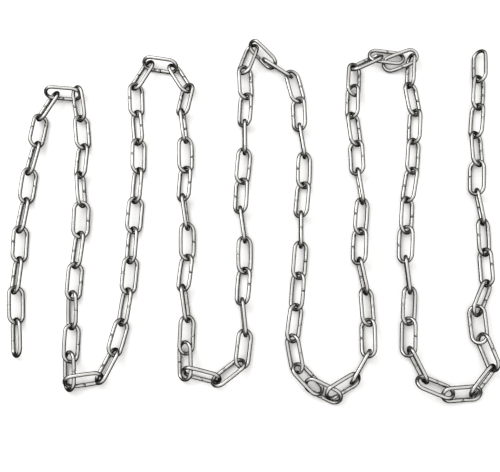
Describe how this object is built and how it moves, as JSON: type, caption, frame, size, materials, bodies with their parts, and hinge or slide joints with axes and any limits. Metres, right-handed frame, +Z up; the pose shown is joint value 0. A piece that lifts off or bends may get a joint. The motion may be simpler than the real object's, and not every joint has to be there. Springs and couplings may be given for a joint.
{
  "type": "length of long-link steel chain",
  "caption": "Length of bright long-link welded steel chain, laid to and fro in straight runs with turned ends on a flat surface.",
  "frame": {"origin": "centre of the layout's box, on the surface that the chain lies on", "axes": "+X across the runs from the first run to the last, +Y along the runs towards the end where the last link lies, +Z up"},
  "size_m": [0.5334, 0.4158, 0.0228],
  "materials": {
    "bright_steel": "bright polished"
  },
  "bodies": {
    "root": {"link_009": "bright_steel", "link_070": "bright_steel", "link_071": "bright_steel", "link_082": "bright_steel", "link_085": "bright_steel", "link_086": "bright_steel", "link_111": "bright_steel", "links_001_002": "bright_steel", "links_003_004": "bright_steel", "links_005_006": "bright_steel", "links_007_008": "bright_steel", "links_010_011": "bright_steel", "links_012_013": "bright_steel", "links_014_015": "bright_steel", "links_016_017": "bright_steel", "links_018_019": "bright_steel", "links_020_021": "bright_steel", "links_022_023": "bright_steel", "links_024_025": "bright_steel", "links_026_027": "bright_steel", "links_028_029": "bright_steel", "links_030_031": "bright_steel", "links_032_033": "bright_steel", "links_034_035": "bright_steel", "links_036_037": "bright_steel", "links_038_039": "bright_steel", "links_040_041": "bright_steel", "links_042_043": "bright_steel", "links_044_045": "bright_steel", "links_046_047": "bright_steel", "links_048_049": "bright_steel", "links_050_051": "bright_steel", "links_052_053": "bright_steel", "links_054_055": "bright_steel", "links_056_057": "bright_steel", "links_058_059": "bright_steel", "links_060_061": "bright_steel", "links_062_063": "bright_steel", "links_064_065": "bright_steel", "links_066_067": "bright_steel", "links_068_069": "bright_steel", "links_072_073": "bright_steel", "links_074_075": "bright_steel", "links_076_077": "bright_steel", "links_078_079": "bright_steel", "links_080_081": "bright_steel", "links_083_084": "bright_steel", "links_087_088": "bright_steel", "links_089_090": "bright_steel", "links_091_092": "bright_steel", "links_093_094": "bright_steel", "links_095_096": "bright_steel", "links_097_098": "bright_steel", "links_099_100": "bright_steel", "links_101_102": "bright_steel", "links_103_104": "bright_steel", "links_105_106": "bright_steel", "links_107_108": "bright_steel", "links_109_110": "bright_steel"}
  },
  "joints": []
}
